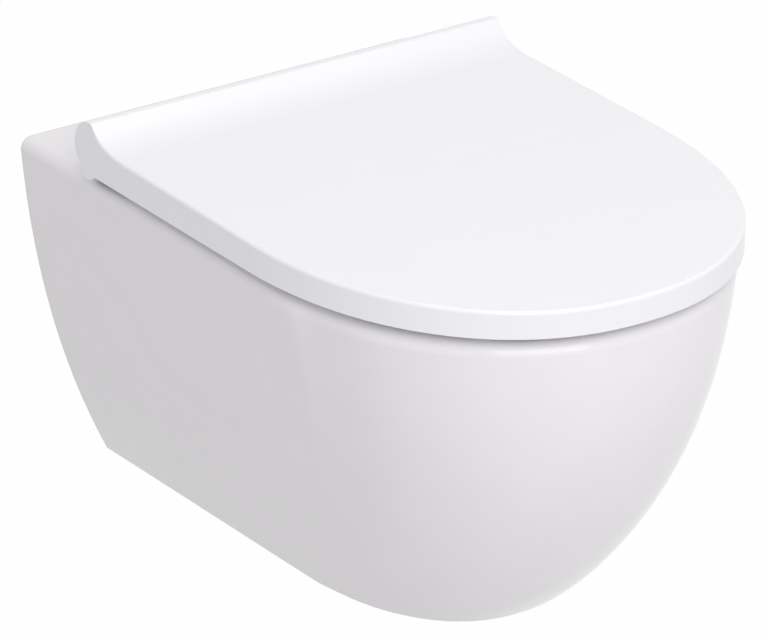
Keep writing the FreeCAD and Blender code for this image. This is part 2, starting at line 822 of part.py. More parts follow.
end_nut_tall = size("end_nut_tall", 8)
end_nut = new_body("end_nut_body")
end_profile = new_sketch(end_nut, "end_profile", "XZ_Plane")
end_low = under - bush_long - end_nut_tall
draw_outline(end_profile, [(thread_radius + run_gap, end_low), (post_hole - nip, end_low),
                           (post_hole - nip / 2, end_low + nip / 2),
                           (post_hole - nip / 2, under - bush_long),
                           (thread_radius + run_gap, under - bush_long)])
revolve(end_nut, "end_turned", end_profile)
spot(end_nut, post_x, -post_y, rim_height)
keep(both_sides("expansion_nut_group", end_nut), "expansion_nuts")

# ---------------------------------------------------------------- hinge carriers
axis_level = rim_height + axis_rise
barrel_radius = size("barrel_radius", 11)
carrier_side = size("carrier_side", 16.5)
carrier_inner = tied("carrier_inner", post_x - carrier_side)
carrier_length = size("carrier_length", 36)
carrier_edge = size("carrier_edge", 2)
stem_back = size("stem_back", 95)
stem_front = size("stem_front", 120)
damper_radius = size("damper_radius", 8)
damper_play = size("damper_play", 0.5)
pin_radius = size("pin_radius", 4)
cap_thick = size("cap_thick", 2.5)
barrel_floor = size("barrel_floor", 3)
clip_level = size("clip_level", 3.6)
clip_thick = size("clip_thick", 1.2)
clip_reach = size("clip_reach", 2.5)
clip_mouth = size("clip_mouth", 8)
button_width = size("button_width", 14)
button_tall = size("button_tall", 6)
button_rise = size("button_rise", 2)
button_sunk = size("button_sunk", 5)
button_play = size("button_play", 0.5)
button_travel = size("button_travel", 2.5)

stem_foot = rim_height + gasket_thick + flange_thick + fit_gap
stem = new_body("carrier_stem_body")
stem_plan = new_sketch(stem, "stem_plan", "XY_Plane", stem_foot)
draw_outline(stem_plan, [(carrier_inner, -stem_front), (carrier_inner + carrier_length, -stem_front),
                         (carrier_inner + carrier_length, -stem_back),
                         (carrier_inner, -stem_back)])
pad(stem, "carrier_stem", stem_plan, axis_level - stem_foot)
fillet(stem, "stem_corners", stem.Tip, carrier_edge,
       lambda span: span.ZLength > 5 and span.YMax < -float(stem_back) - 5)
barrel = cylinder("carrier_barrel", barrel_radius, carrier_length,
                  carrier_inner, -axis_reach, axis_level, along_wall)
barrel_bore = cylinder("carrier_bore", damper_radius + run_gap, carrier_length - barrel_floor,
                       carrier_inner, -axis_reach, axis_level, along_wall)
pin_bore = cylinder("carrier_pin_bore", pin_radius + run_gap, carrier_length + cut_over,
                    carrier_inner - cut_over / 2, -axis_reach, axis_level, along_wall)
socket = cylinder("carrier_socket", post_radius + fit_gap, post_top + nip / 2,
                  post_x, -post_y, rim_height)
clip_slot = cylinder("carrier_clip_slot", post_radius + clip_reach + fit_gap,
                     clip_thick + slip * 2, post_x, -post_y, stem_foot + clip_level - slip)
button_pocket = box("carrier_button_pocket", button_width + button_play * 2, button_sunk,
                    button_tall + button_play * 2, post_x - button_width / 2 - button_play,
                    -stem_front, stem_foot + button_rise - button_play)
carrier_solid = fuse("carrier_solid", [stem, barrel])
keep_pair(cut("carrier_body", carrier_solid, [barrel_bore, pin_bore, socket, clip_slot,
                                              button_pocket]), "hinge_carrier")

clip_base = stem_foot + clip_level
clip = cut("clip_body",
           cylinder("clip_disc", post_radius + clip_reach, clip_thick, post_x, -post_y, clip_base),
           [cylinder("clip_eye", post_radius + slip, clip_thick * 2, post_x, -post_y,
                     clip_base - clip_thick / 2),
            box("clip_mouth_cut", clip_mouth, post_radius * 2, clip_thick * 2,
                post_x - clip_mouth / 2, -post_y, clip_base - clip_thick / 2)])
keep(both_sides("latch_clip_group", clip), "latch_clips")

damper_blank = cylinder("damper_blank", damper_radius,
                        carrier_length - barrel_floor - cap_thick - damper_play,
                        carrier_inner + cap_thick + fit_gap, -axis_reach, axis_level, along_wall)
damper_eye = cylinder("damper_eye", pin_radius + run_gap, carrier_length * 2,
                      carrier_inner - cut_over, -axis_reach, axis_level, along_wall)
keep_pair(cut("damper_body", damper_blank, damper_eye), "hinge_damper")

end_cap = cylinder("end_cap_blank", damper_radius, cap_thick, carrier_inner,
                   -axis_reach, axis_level, along_wall)
keep(both_sides("carrier_cap_group", cut("end_cap_body", end_cap, damper_eye)), "carrier_caps")

pin_out = size("pin_out", 16.5)
pin_start = tied("pin_start", carrier_inner - pin_out)
pin_length = size("pin_length", 67)
pin_nose = size("pin_nose", 0.8)
hinge_pin = new_body("hinge_pin_body")
pin_ring = new_sketch(hinge_pin, "pin_ring", "YZ_Plane", pin_start)
draw_circle(pin_ring, -axis_reach, axis_level, pin_radius)
pad(hinge_pin, "pin_run", pin_ring, pin_length)
fillet(hinge_pin, "pin_ends", hinge_pin.Tip, pin_nose, lambda span: span.XLength < 1)
keep_pair(hinge_pin, "hinge_pin")

button = new_body("button_body")
button_proud = button_travel + fit_gap
button_face = new_sketch(button, "button_face", "XZ_Plane", stem_front - button_sunk + button_proud)
button_low = stem_foot + button_rise
draw_outline(button_face, [(post_x - button_width / 2, button_low),
                           (post_x + button_width / 2, button_low),
                           (post_x + button_width / 2, button_low + button_tall),
                           (post_x - button_width / 2, button_low + button_tall)])
pad(button, "button_block", button_face, button_sunk + slip)
button_front = -float(stem_front + button_proud + slip)
fillet(button, "button_edges", button.Tip, nip,
       lambda span: span.YMax < button_front + 0.1)
keep_pair(button, "release_button")


# ---------------------------------------------------------------- seat
ear_gap = size("ear_gap", 0.7)
ear_length = size("ear_length", 16)
ear_start = tied("ear_start", carrier_inner - ear_gap - ear_length)
bush_radius = size("bush_radius", 6)
seat_back = size("seat_back", 130)
seat_hole_half = size("seat_hole_half", 113)
seat_hole_back = size("seat_hole_back", 197)
hole_inset = size("hole_inset", 2)
seat_hole_front = tied("seat_hole_front", bowl_front - hole_inset)
seat_edge = size("seat_edge", 4)
seat_inner_edge = size("seat_inner_edge", 6)
lid_power = size("lid_power", 2.17)
hole_power = size("hole_power", 2.3)
arm_heel = size("arm_heel", 12)
arm_lap = size("arm_lap", 6)
arm_step = size("arm_step", 4)
arm_shoulder = size("arm_shoulder", 8)
arm_rise = size("arm_rise", 7.5)
seat_low = rim_height + lid_gap + fit_gap
seat_high = rim_height + seat_top
seat_half = lid_half_width - lid_wall - seat_clearance
seat_nose = lid_reach - lid_wall - seat_clearance

ring = new_body("seat_ring_body")
ring_plan = new_sketch(ring, "ring_plan", "XY_Plane", seat_low)
draw(ring_plan, d_edges(float(seat_half), float(seat_half), float(lid_side_reach),
                        float(seat_nose), float(lid_power), float(seat_back)))
draw(ring_plan, oval_edges(float(seat_hole_half), float(seat_hole_back),
                           float(seat_hole_front), float(hole_power)))
pad(ring, "ring_slab", ring_plan, seat_high - seat_low)
level_high = float(seat_high)
hole_width = 2 * float(seat_hole_half)
side_line = float(seat_half) - 5
hole_edge = fillet(ring, "ring_inner_edge", ring.Tip, seat_inner_edge,
                   lambda span: span.ZMin > level_high - 0.1
                   and span.XLength < hole_width + 1 and span.YMax < -190)
fillet(ring, "ring_outer_edge", hole_edge, seat_edge,
       lambda span: span.ZMin > level_high - 0.1
       and (span.XLength > hole_width + 5 or span.XMin > side_line or span.XMax < -side_line))

arm = new_body("seat_arm_body")
arm_side = new_sketch(arm, "arm_side", "YZ_Plane", ear_start)
draw_outline(arm_side, [(-axis_reach, axis_level - barrel_radius),
                        (-axis_reach - arm_heel, seat_low), (-seat_back - arm_lap, seat_low),
                        (-seat_back - arm_lap, seat_high - arm_step),
                        (-axis_reach - arm_shoulder, axis_level + arm_rise),
                        (-axis_reach, axis_level)])
pad(arm, "arm_block", arm_side, ear_length)
knuckle = cylinder("seat_knuckle", barrel_radius, ear_length, ear_start, -axis_reach,
                   axis_level, along_wall)
knuckle_bore = cylinder("seat_knuckle_bore", bush_radius, ear_length + cut_over,
                        ear_start - cut_over / 2, -axis_reach, axis_level, along_wall)
arm_bored = cut("seat_arm_bored", fuse("seat_arm_solid", [arm, knuckle]), knuckle_bore)

foot_radius = size("foot_radius", 9)
foot_bevel = size("foot_bevel", 1.5)
peg_radius = size("peg_radius", 3.5)
peg_long = size("peg_long", 6)
peg_spare = size("peg_spare", 0.2)
front_foot_x = size("front_foot_x", 95)
foot_inset = size("foot_inset", 61)
front_foot_y = tied("front_foot_y", lid_reach - foot_inset)
rear_foot_x = size("rear_foot_x", 150)
rear_foot_y = size("rear_foot_y", 205)


def seat_foot(name, x, y):
    """A rubber buffer under the seat: a pad with a peg that plugs into the ring."""
    body = new_body(name)
    profile = new_sketch(body, name + "_profile", "XZ_Plane")
    tall = lid_gap + fit_gap
    draw_outline(profile, [(0, fit_gap), (foot_radius - foot_bevel, fit_gap),
                           (foot_radius, fit_gap + foot_bevel), (foot_radius, tall),
                           (peg_radius, tall), (peg_radius, tall + peg_long),
                           (0, tall + peg_long)])
    revolve(body, name + "_moulded", profile)
    return spot(body, x, y, rim_height)


def peg_hole(name, x, y):
    return cylinder(name, peg_radius + run_gap, peg_long + peg_spare + cut_over, x, y,
                    seat_low - cut_over)


front_foot = seat_foot("front_foot", front_foot_x, -front_foot_y)
rear_foot = seat_foot("rear_foot", rear_foot_x, -rear_foot_y)
peg_holes = [peg_hole("front_peg_hole", front_foot_x, -front_foot_y),
             peg_hole("rear_peg_hole", rear_foot_x, -rear_foot_y)]
peg_holes = peg_holes + [mirror(hole.Name + "_left", hole) for hole in peg_holes]
seat_solid = fuse("seat_solid", [ring, arm_bored, mirror("seat_arm_left", arm_bored)])
keep(cut("seat_body", seat_solid, peg_holes), "seat_ring")
keep(both_sides("seat_feet_front_group", front_foot), "seat_buffers_front")
keep(both_sides("seat_feet_rear_group", rear_foot), "seat_buffers_rear")
seat_bush = cut("seat_bush_body",
                cylinder("seat_bush_tube", bush_radius - run_gap, ear_length, ear_start,
                         -axis_reach, axis_level, along_wall),
                cylinder("seat_bush_eye", pin_radius + run_gap, ear_length + cut_over,
                         ear_start - cut_over / 2, -axis_reach, axis_level, along_wall))
keep(both_sides("seat_bush_group", seat_bush), "seat_bushes")

# ---------------------------------------------------------------- lid
lid_root = size("lid_root", 145)
crest_pull = size("crest_pull", 4.5)
root_pull = size("root_pull", 37.5)
root_lift = size("root_lift", 0.4)
rear_lip = size("rear_lip", 3)
lip_reach = size("lip_reach", 9.5)
throat_reach = size("throat_reach", 1)
neck_reach = size("neck_reach", 6)
form_reach = size("form_reach", 560)
form_spare = size("form_spare", 40)
void_drop = size("void_drop", 10)
plan_drop = size("plan_drop", 20)
plan_tall = size("plan_tall", 90)
notch_side = size("notch_side", 1.8)
notch_gap = size("notch_gap", 1)
notch_start = tied("notch_start", ear_start - notch_side)
notch_end = tied("notch_end", carrier_inner + carrier_length + notch_gap)
notch_depth = size("notch_depth", 22)
notch_rise = size("notch_rise", 38)
lid_ear_length = size("lid_ear_length", 13)
lid_ear_gap = size("lid_ear_gap", 0.5)
sweep_radius = size("sweep_radius", 26.4)


def ridge_profile(inset, front_y, low):
    """Side outline of the lid in (y, z): hinge ridge, hollow flank, flat top, front."""
    axis_y = -float(axis_reach)
    axis_z = float(axis_level)
    radius = float(ridge_radius) - inset
    slope = math.sqrt(0.5)
    rear = Vector(axis_y + radius * slope, axis_z - radius * slope, 0)
    back = Vector(axis_y + radius, axis_z, 0)
    crest = Vector(axis_y, axis_z + radius, 0)
    root = Vector(-float(lid_root) - inset / 2, rim_level + float(lid_root_top) - inset, 0)
    fall = float(lid_root_top - lid_front_top) / float(lid_reach - lid_root)
    nose = Vector(-front_y, root.y - fall * (front_y - float(lid_root)), 0)
    flank = Part.BezierCurve()
    flank.setPoles([crest, crest + Vector(inset * 0.3 - float(crest_pull), 0, 0),
                    root + Vector(float(root_pull) - inset * 0.1, float(root_lift), 0), root])
    lip = Vector(axis_y + float(lip_reach) - inset, rim_level + float(rear_lip), 0)
    edges = [Part.Arc(rear, back, crest), flank.toBSpline(), Part.LineSegment(root, nose)]
    if low is None:
        chin = Vector(-front_y, rim_level + float(lid_gap), 0)
        neck = Vector(axis_y - float(neck_reach), rim_level + float(lid_gap), 0)
        throat = Vector(axis_y + float(throat_reach), rim_level + float(rear_lip), 0)
        edges += [Part.LineSegment(nose, chin), Part.LineSegment(chin, neck),
                  Part.LineSegment(neck, throat), Part.LineSegment(throat, lip),
                  Part.LineSegment(lip, rear)]
    else:
        chin = Vector(-front_y, low, 0)
        heel = Vector(lip.x, low, 0)
        edges += [Part.LineSegment(nose, chin), Part.LineSegment(chin, heel),
                  Part.LineSegment(heel, lip), Part.LineSegment(lip, rear)]
    return edges


def make_lid_form(name, inset, low):
    body = new_body(name)
    side = new_sketch(body, name + "_side", "YZ_Plane")
    draw(side, ridge_profile(inset, float(form_reach), low))
    pad(body, name + "_run", side, lid_half_width * 2 + form_spare, both=True)
    return body


def make_lid_plan(name, inset):
    body = new_body(name)
    half = float(lid_half_width) - inset
    plan = new_sketch(body, name + "_plan", "XY_Plane", rim_height - plan_drop)
    draw(plan, d_edges(half, half, float(lid_side_reach), float(lid_reach) - inset,
                       float(lid_power), float(plan_drop)))
    pad(body, name + "_column", plan, plan_tall)
    return body


lid_outer = common("lid_outer", make_lid_form("lid_form", 0.0, None),
                   make_lid_plan("lid_plan", 0.0))
lid_inner = common("lid_inner", make_lid_form("lid_void", float(lid_wall),
                                              rim_level - float(void_drop)),
                   make_lid_plan("lid_void_plan", float(lid_wall)))
notch = box("lid_notch_right", notch_end - notch_start, notch_depth + cut_over,
            notch_rise + void_drop, notch_start, cut_over - axis_reach,
            rim_height - void_drop)
lid_ear_start = notch_end + lid_ear_gap
lid_ear_block = common("lid_ear_block", lid_outer, cylinder(
    "lid_ear_disc", sweep_radius, lid_ear_length, lid_ear_start, -axis_reach, axis_level,
    along_wall))
lid_bore = cylinder("lid_bore", bush_radius, lid_ear_length + cut_over * 2,
                    lid_ear_start - cut_over, -axis_reach, axis_level, along_wall)
pad_radius = size("pad_radius", 8)
pad_bevel = size("pad_bevel", 0.8)
pad_play = size("pad_play", 0.15)
stub_radius = size("stub_radius", 5)
stub_rise = size("stub_rise", 1.3)
seat_rise = size("seat_rise", 1.4)
front_pad_x = size("front_pad_x", 90)
pad_inset = size("pad_inset", 55)
front_pad_y = tied("front_pad_y", lid_reach - pad_inset)
rear_pad_x = size("rear_pad_x", 120)
rear_pad_y = size("rear_pad_y", 165)


def lid_under(y):
    """Height of the lid's underside above the rim at a distance from the wall."""
    fall = (lid_root_top - lid_front_top) / (lid_reach - lid_root)
    return lid_root_top - lid_wall - fall * (y - lid_root)


def lid_pad(name, x, y):
    """A buffer under the lid, plugged into a shallow seat in the shell."""
    body = new_body(name)
    profile = new_sketch(body, name + "_profile", "XZ_Plane")
    start = seat_top + fit_gap
    shoulder = lid_under(y) - pad_play
    top = lid_under(y) + stub_rise
    draw_outline(profile, [(0, start), (pad_radius - pad_bevel, start),
                           (pad_radius, start + pad_bevel), (pad_radius, shoulder),
                           (stub_radius, shoulder), (stub_radius, top), (0, top)])
    revolve(body, name + "_moulded", profile)
    return spot(body, x, -y, rim_height)


def pad_seat(name, x, y):
    return cylinder(name, stub_radius + run_gap, seat_rise + cut_over, x, -y,
                    rim_height + lid_under(y) - cut_over)


pad_seats = [pad_seat("front_pad_seat", front_pad_x, front_pad_y),
             pad_seat("rear_pad_seat", rear_pad_x, rear_pad_y)]
left_tools = [mirror(tool.Name + "_left", tool) for tool in [notch, lid_bore] + pad_seats]
lid_shell = cut("lid_shell", lid_outer, lid_inner)
lid_solid = fuse("lid_solid", [lid_shell, lid_ear_block, mirror("lid_ear_left", lid_ear_block)])
keep(cut("lid_body", lid_solid, [notch, lid_bore] + pad_seats + left_tools), "lid")
keep(both_sides("lid_pads_front_group", lid_pad("front_pad", front_pad_x, front_pad_y)),
     "lid_buffers_front")
keep(both_sides("lid_pads_rear_group", lid_pad("rear_pad", rear_pad_x, rear_pad_y)),
     "lid_buffers_rear")
lid_bush = cut("lid_bush_body",
               cylinder("lid_bush_tube", bush_radius - run_gap, lid_ear_length, lid_ear_start,
                        -axis_reach, axis_level, along_wall),
               cylinder("lid_bush_eye", pin_radius + run_gap, lid_ear_length + cut_over,
                        lid_ear_start - cut_over / 2, -axis_reach, axis_level, along_wall))
keep(both_sides("lid_bush_group", lid_bush), "lid_bushes")

# ---------------------------------------------------------------- checks and files
doc.recompute()
for item in doc.Objects:
    if "Invalid" in item.State or "Error" in item.State:
        raise RuntimeError("%s did not build: %s" % (item.Name, item.State))
for name, item in nodes:
    if item.Shape.isNull() or not item.Shape.isValid():
        raise RuntimeError("%s has no sound shape" % name)

os.makedirs("parts", exist_ok=True)
for name, item in nodes:
    item.Shape.exportStep("parts/%s.step" % name)
    print("%-24s %2d solids %12.1f mm3" % (name, len(item.Shape.Solids), item.Shape.Volume))
print(len(nodes), "nodes")
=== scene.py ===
# %% [markdown]
# # Wall hung toilet
# A smooth shrouded ceramic pan that hangs on a wall, with a slim seat and a lid that
# wraps over it. The solids come packed from the construction model, so this lesson
# only dresses them: a finish for each, a rounded rim for the lid, then floor, lamps and
# camera. Metres, +Z up, the wall is the plane y = 0, the bowl points to -Y.

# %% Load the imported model
import math

import bmesh
import bpy
import numpy as np
from mathutils import Matrix, Vector


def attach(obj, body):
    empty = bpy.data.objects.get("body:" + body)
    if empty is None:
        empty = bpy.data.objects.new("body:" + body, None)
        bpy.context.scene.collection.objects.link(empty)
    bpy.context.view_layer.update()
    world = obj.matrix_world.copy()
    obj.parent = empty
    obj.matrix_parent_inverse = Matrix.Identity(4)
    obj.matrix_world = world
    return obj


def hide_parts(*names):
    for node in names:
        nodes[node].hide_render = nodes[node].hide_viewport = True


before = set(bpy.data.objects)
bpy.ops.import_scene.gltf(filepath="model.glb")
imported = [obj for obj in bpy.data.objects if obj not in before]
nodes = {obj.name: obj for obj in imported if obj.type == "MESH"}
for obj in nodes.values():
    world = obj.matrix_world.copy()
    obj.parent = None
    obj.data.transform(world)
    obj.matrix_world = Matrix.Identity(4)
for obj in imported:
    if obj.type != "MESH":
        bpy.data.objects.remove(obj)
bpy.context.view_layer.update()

# %% [markdown]
# ## Colours and shader nodes
# Colours are written as they would be picked from a screen, in hex, and one function
# turns them to the linear light that the renderer adds up. A second small function
# adds one shader node, sets its values and joins its inputs, so every finish below
# reads as a list of nodes. A third opens an empty material with the node that gives
# each point's place on the object.

# %% Three helpers
def linear(text):
    """sRGB hex to linear RGBA: below 0.04045 divide by 12.92, else ((c + 0.055) / 1.055) ^ 2.4."""
    srgb = np.array([int(text[i:i + 2], 16) for i in (1, 3, 5)]) / 255
    curve = ((srgb + 0.055) / 1.055) ** 2.4
    return (*np.where(srgb <= 0.04045, srgb / 12.92, curve).tolist(), 1.0)


def add_node(tree, kind, inputs=None, joins=None, **settings):
    """Add one node: settings are its properties, inputs its values, joins input: (node, output)."""
    node = tree.nodes.new(kind)
    for name, value in settings.items():
        setattr(node, name, value)
    for name, value in (inputs or {}).items():
        node.inputs[name].default_value = value
    for name, (source, output) in (joins or {}).items():
        tree.links.new(source.outputs[output], node.inputs[name])
    return node


def new_material(name):
    """An empty node material; returns it, its tree, its output and its texture coordinates."""
    material = bpy.data.materials.new(name)
    material.use_nodes = True
    tree = material.node_tree
    tree.nodes.clear()
    output = add_node(tree, "ShaderNodeOutputMaterial")
    place = add_node(tree, "ShaderNodeTexCoord")
    return material, tree, output, place


print("white #FFFFFF is", linear("#FFFFFF"))

# %% [markdown]
# ## Glazed vitreous china
# The pan is fired clay under a poured glass glaze. The eye reads it by three things: a
# sharp reflection, a slow swell of the glaze that bends that reflection over some
# 40 mm, and a much finer ripple left by the spray. Where the pan meets the wall the
# glaze is wiped off and the clay shows, matt and a little warmer. A picture wrapped
# round the pan would stretch at the nose, so both patterns are noises that Blender
# works out at each point of the object.

# %% Glaze
MM = 0.001
GLAZE_SWELL = 40 * MM
GLAZE_SWELL_DEPTH = 0.5 * MM
GLAZE_RIPPLE = 5 * MM
GLAZE_RIPPLE_DEPTH = 0.03 * MM
WIPED_EDGE = 0.6 * MM
CLAY_ROUGHNESS = 0.75


def make_glaze():
    """Two noises, for swell and ripple, and bare clay within WIPED_EDGE of the wall."""
    material, tree, output, place = new_material("glazed_china")
    swell = add_node(tree, "ShaderNodeTexNoise", {"Scale": 1 / GLAZE_SWELL, "Detail": 1.0},
                     {"Vector": (place, "Object")})
    ripple = add_node(tree, "ShaderNodeTexNoise", {"Scale": 1 / GLAZE_RIPPLE, "Detail": 2.0},
                      {"Vector": (place, "Object")})
    axes = add_node(tree, "ShaderNodeSeparateXYZ", None, {"Vector": (place, "Object")})
    wiped = add_node(tree, "ShaderNodeMath", {1: -WIPED_EDGE}, {0: (axes, "Y")},
                     operation="GREATER_THAN")
    tint = add_node(tree, "ShaderNodeMix", {"A": linear("#F2EFF2"), "B": linear("#EEEBEE")},
                    {"Factor": (swell, "Fac")}, data_type="RGBA")
    colour = add_node(tree, "ShaderNodeMix", {"B": linear("#DAD3C6")},
                      {"Factor": (wiped, "Value"), "A": (tint, "Result")}, data_type="RGBA")
    gloss = add_node(tree, "ShaderNodeMapRange", {"To Min": 0.09, "To Max": 0.13},
                     {"Value": (ripple, "Fac")})
    rough = add_node(tree, "ShaderNodeMix", {"B": CLAY_ROUGHNESS},
                     {"Factor": (wiped, "Value"), "A": (gloss, "Result")})
    slow = add_node(tree, "ShaderNodeBump", {"Strength": 0.3, "Distance": GLAZE_SWELL_DEPTH},
                    {"Height": (swell, "Fac")})
    fine = add_node(tree, "ShaderNodeBump", {"Strength": 0.12, "Distance": GLAZE_RIPPLE_DEPTH},
                    {"Height": (ripple, "Fac"), "Normal": (slow, "Normal")})
    shader = add_node(tree, "ShaderNodeBsdfPrincipled", {"IOR": 1.52},
                      {"Base Color": (colour, "Result"), "Roughness": (rough, "Result"),
                       "Normal": (fine, "Normal")})
    tree.links.new(shader.outputs["BSDF"], output.inputs["Surface"])
    return material


glazed_china = make_glaze()
print(glazed_china.name, len(glazed_china.node_tree.nodes), "nodes")

# %% [markdown]
# ## Moulded parts
# Seat and lid are pressed from white urea resin in a polished tool. It is a touch
# bluer than the china, nearly as glossy, and its skin has a very fine satin ripple
# instead of the glaze's slow swell. Acetal is waxier, ABS comes duller out of a
# textured tool, glass fibres leave nylon dull and dark, and rubber is almost matt.
# Only tint, gloss and grain differ, so one function makes them all.

# %% Plastics and rubber
TINT_CLOUD = 30 * MM


def make_plastic(name, light, dark, roughness, grain, depth):
    """Moulded plastic: two near tones in clouds, a roughness, the tool's grain and its depth."""
    material, tree, output, place = new_material(name)
    cloud = add_node(tree, "ShaderNodeTexNoise", {"Scale": 1 / TINT_CLOUD, "Detail": 2.0},
                     {"Vector": (place, "Object")})
    skin = add_node(tree, "ShaderNodeTexNoise", {"Scale": 1 / grain, "Detail": 3.0},
                    {"Vector": (place, "Object")})
    tint = add_node(tree, "ShaderNodeMix", {"A": linear(light), "B": linear(dark)},
                    {"Factor": (cloud, "Fac")}, data_type="RGBA")
    gloss = add_node(tree, "ShaderNodeMapRange",
                     {"To Min": roughness * 0.85, "To Max": roughness * 1.15},
                     {"Value": (skin, "Fac")})
    bump = add_node(tree, "ShaderNodeBump", {"Strength": 0.25, "Distance": depth},
                    {"Height": (skin, "Fac")})
    shader = add_node(tree, "ShaderNodeBsdfPrincipled", {"IOR": 1.5},
                      {"Base Color": (tint, "Result"), "Roughness": (gloss, "Result"),
                       "Normal": (bump, "Normal")})
    tree.links.new(shader.outputs["BSDF"], output.inputs["Surface"])
    return material


moulded_resin = make_plastic("pressed_urea_resin", "#F4F4F7", "#F2F2F6",
                             roughness=0.2, grain=1.5 * MM, depth=0.01 * MM)
white_acetal = make_plastic("white_acetal", "#EDEDEE", "#E8E8EA",
                            roughness=0.35, grain=1.0 * MM, depth=0.02 * MM)
grey_abs = make_plastic("light_grey_abs", "#C3C5C8", "#B9BBBE",
                        roughness=0.45, grain=0.8 * MM, depth=0.03 * MM)
filled_nylon = make_plastic("glass_filled_nylon", "#4A4C4F", "#3B3D40",
                            roughness=0.6, grain=0.7 * MM, depth=0.05 * MM)
black_epdm = make_plastic("black_epdm_rubber", "#2B2B2C", "#232324",
                          roughness=0.75, grain=0.9 * MM, depth=0.04 * MM)
moulded = [moulded_resin, white_acetal, grey_abs, filled_nylon, black_epdm]
print([material.name for material in moulded])

# %% [markdown]
# ## Clear elastomer
# The buffers and gaskets are a milky soft elastomer. Light goes some way in before it
# comes back, so a little scatter under the skin keeps them from looking like chalk. A
# transparent shader is the other way, but the pads are cloudy and only a few
# millimetres thick.

# %% Elastomer
ELASTOMER_CLOUD = 4 * MM
SCATTER_DEPTH = 2 * MM


def make_elastomer():
    """Milky elastomer: a cloud varies tint and gloss, and light scatters SCATTER_DEPTH deep."""
    material, tree, output, place = new_material("milky_elastomer")
    cloud = add_node(tree, "ShaderNodeTexNoise", {"Scale": 1 / ELASTOMER_CLOUD, "Detail": 2.0},
                     {"Vector": (place, "Object")})
    tint = add_node(tree, "ShaderNodeMix", {"A": linear("#E9EBEC"), "B": linear("#DFE2E4")},
                    {"Factor": (cloud, "Fac")}, data_type="RGBA")
    gloss = add_node(tree, "ShaderNodeMapRange", {"To Min": 0.38, "To Max": 0.5},
                     {"Value": (cloud, "Fac")})
    shader = add_node(tree, "ShaderNodeBsdfPrincipled",
                      {"IOR": 1.43, "Subsurface Weight": 0.25,
                       "Subsurface Scale": SCATTER_DEPTH},
                      {"Base Color": (tint, "Result"), "Roughness": (gloss, "Result")})
    tree.links.new(shader.outputs["BSDF"], output.inputs["Surface"])
    return material


milky_elastomer = make_elastomer()
print(milky_elastomer.name)

# %% [markdown]
# ## Turned and plated metal
# Posts, pins and studs are turned: the cutting tool leaves fine rings round the axis.
# Real ones lie about a tenth of a millimetre apart, which no picture of the whole object
# shows, so they are drawn about 3 mm apart, by a wave texture, with nothing to model.
# The washers and nuts are stamped and zinc plated, which shows as a cloudy grey with
# small bright grains.

# %% Metals
RING_STEP = math.pi * MM  # near 3 mm, and the wave's scale is then 100
RING_DEPTH = 0.02 * MM
WAVE_LENGTH = 2 * math.pi / 20  # of Blender's wave texture at scale 1
ZINC_GRAIN = 2 * MM


def make_turned(name, light, dark, roughness, ring_axis):
    """Turned metal: a sine wave along the axis, RING_STEP long, stands for the tool's rings."""
    material, tree, output, place = new_material(name)
    rings = add_node(tree, "ShaderNodeTexWave",
                     {"Scale": WAVE_LENGTH / RING_STEP, "Distortion": 0.4, "Detail": 1.0},
                     {"Vector": (place, "Object")}, wave_type="BANDS", bands_direction=ring_axis)
    tint = add_node(tree, "ShaderNodeMix", {"A": linear(light), "B": linear(dark)},
                    {"Factor": (rings, "Fac")}, data_type="RGBA")
    gloss = add_node(tree, "ShaderNodeMapRange",
                     {"To Min": roughness * 0.8, "To Max": roughness * 1.2},
                     {"Value": (rings, "Fac")})
    bump = add_node(tree, "ShaderNodeBump", {"Strength": 0.2, "Distance": RING_DEPTH},
                    {"Height": (rings, "Fac")})
    shader = add_node(tree, "ShaderNodeBsdfPrincipled", {"Metallic": 1.0},
                      {"Base Color": (tint, "Result"), "Roughness": (gloss, "Result"),
                       "Normal": (bump, "Normal")})
    tree.links.new(shader.outputs["BSDF"], output.inputs["Surface"])
    return material


def make_zinc():
    """Zinc plate: cells ZINC_GRAIN across, each a little lighter or darker."""
    material, tree, output, place = new_material("zinc_plated_steel")
    grains = add_node(tree, "ShaderNodeTexVoronoi", {"Scale": 1 / ZINC_GRAIN},
                      {"Vector": (place, "Object")})
    shade = add_node(tree, "ShaderNodeMapRange", {"To Min": 0.0, "To Max": 1.0},
                     {"Value": (grains, "Distance")})
    tint = add_node(tree, "ShaderNodeMix", {"A": linear("#C2C4C6"), "B": linear("#A9ABAE")},
                    {"Factor": (shade, "Result")}, data_type="RGBA")
    gloss = add_node(tree, "ShaderNodeMapRange", {"To Min": 0.3, "To Max": 0.45},
                     {"Value": (grains, "Distance")})
    shader = add_node(tree, "ShaderNodeBsdfPrincipled", {"Metallic": 1.0},
                      {"Base Color": (tint, "Result"), "Roughness": (gloss, "Result")})
    tree.links.new(shader.outputs["BSDF"], output.inputs["Surface"])
    return material


turned_steel = make_turned("turned_stainless_steel", "#C9C8C6", "#B4B3B1",
                           roughness=0.25, ring_axis="Z")
turned_pin = make_turned("ground_pin_steel", "#CDCCCA", "#BDBCBA",
                         roughness=0.18, ring_axis="X")
turned_brass = make_turned("turned_brass", "#D9B778", "#C6A25F",
                           roughness=0.28, ring_axis="Z")
zinc_steel = make_zinc()
print([material.name for material in (turned_steel, turned_pin, turned_brass, zinc_steel)])

# %% [markdown]
# ## Finish of each construction node
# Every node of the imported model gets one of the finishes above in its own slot. The list
# is sorted by finish, so one line shows all that is made of it.

